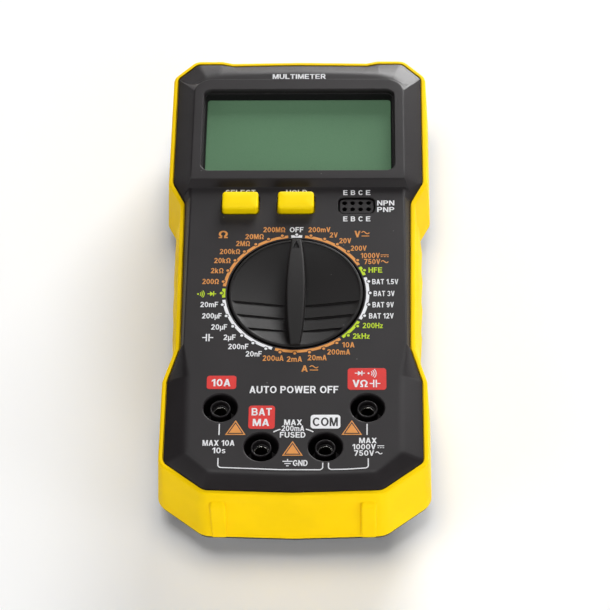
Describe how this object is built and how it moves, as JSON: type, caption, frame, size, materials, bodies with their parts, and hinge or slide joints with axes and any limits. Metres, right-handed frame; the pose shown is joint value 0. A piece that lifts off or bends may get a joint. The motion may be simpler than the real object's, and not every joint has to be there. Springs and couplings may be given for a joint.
{
  "type": "digital multimeter",
  "caption": "Handheld digital multimeter in a soft boot, with a display, a rotary range dial, push keys, recessed input jacks and a fold-out tilt stand.",
  "frame": {"origin": "middle of the outline, on the surface that the four feet stand on", "axes": "+X to the right of someone reading the panel, +Y from the jacks towards the display, +Z out of the panel"},
  "size_m": [0.086, 0.1755, 0.0379],
  "materials": {
    "case": "fine matte black ABS",
    "boot": "smooth yellow elastomer",
    "lens": "clear polished acrylic",
    "lcd": "grey-green reflective display",
    "inner_plastic": "moulded white plastic",
    "contact_rubber": "layered conductive silicone",
    "board": "green solder mask",
    "brass": "turned and nickel flashed",
    "steel": "zinc plated",
    "component": "black epoxy moulding",
    "fuse_glass": "clear glass tube",
    "trimmer": "blue moulding",
    "film_capacitor": "dipped epoxy",
    "battery_jacket": "printed dark jacket over a metal can",
    "rubber": "matte black rubber",
    "red_wire": "red PVC insulation",
    "black_wire": "black PVC insulation",
    "knob": "satin black ABS",
    "key": "satin yellow ABS"
  },
  "bodies": {
    "meter": {"front_shell": "case", "rear_shell": "case", "protective_boot": "boot", "display_lens": "lens", "lcd_glass": "lcd", "lcd_frame": "inner_plastic", "zebra_strip_upper": "contact_rubber", "zebra_strip_lower": "contact_rubber", "circuit_board": "board", "jack_socket_10a": "brass", "jack_socket_ma": "brass", "jack_socket_com": "brass", "jack_socket_volt": "brass", "transistor_socket": "case", "select_switch": "inner_plastic", "hold_switch": "inner_plastic", "detent_ring": "inner_plastic", "buzzer": "component", "fuse": "fuse_glass", "fuse_clip_left": "steel", "fuse_clip_right": "steel", "current_shunt": "steel", "measuring_chip": "component", "trimmer": "trimmer", "supply_capacitor": "component", "range_capacitor": "film_capacitor", "battery": "battery_jacket", "battery_snap": "rubber", "battery_lead_positive": "red_wire", "battery_lead_negative": "black_wire", "battery_cover": "case", "battery_cover_screw": "steel", "case_screw_1": "steel", "case_screw_2": "steel", "case_screw_3": "steel", "case_screw_4": "steel", "board_screw_1": "steel", "board_screw_2": "steel", "board_screw_3": "steel", "board_screw_4": "steel", "foot_1": "rubber", "foot_2": "rubber", "foot_3": "rubber", "foot_4": "rubber"},
    "dial": {"selector_knob": "knob", "contact_rotor": "inner_plastic", "detent_ball_right": "steel", "detent_ball_left": "steel", "detent_spring_right": "steel", "detent_spring_left": "steel", "wiper_contact_1": "brass", "wiper_contact_2": "brass", "wiper_contact_3": "brass"},
    "select": {"select_key": "key", "select_spring": "steel"},
    "hold": {"hold_key": "key", "hold_spring": "steel"},
    "stand": {"kickstand": "case"}
  },
  "joints": [
    {"name": "dial_turn", "type": "hinge", "parent": "meter", "child": "dial", "pos_m": [0, -0.0131, 0.035], "axis": [0, 0, 1], "continuous": true},
    {"name": "select_press", "type": "slide", "parent": "meter", "child": "select", "axis": [0, 0, -1], "range_m": [0, 0.0012], "stiffness_N_per_m": 500, "springref_m": -0.001, "deforming": ["select_spring"]},
    {"name": "hold_press", "type": "slide", "parent": "meter", "child": "hold", "axis": [0, 0, -1], "range_m": [0, 0.0012], "stiffness_N_per_m": 500, "springref_m": -0.001, "deforming": ["hold_spring"]},
    {"name": "stand_swing", "type": "hinge", "parent": "meter", "child": "stand", "pos_m": [0, 0.0299, 0.0031], "axis": [1, 0, 0], "range_deg": [0, 60]}
  ]
}
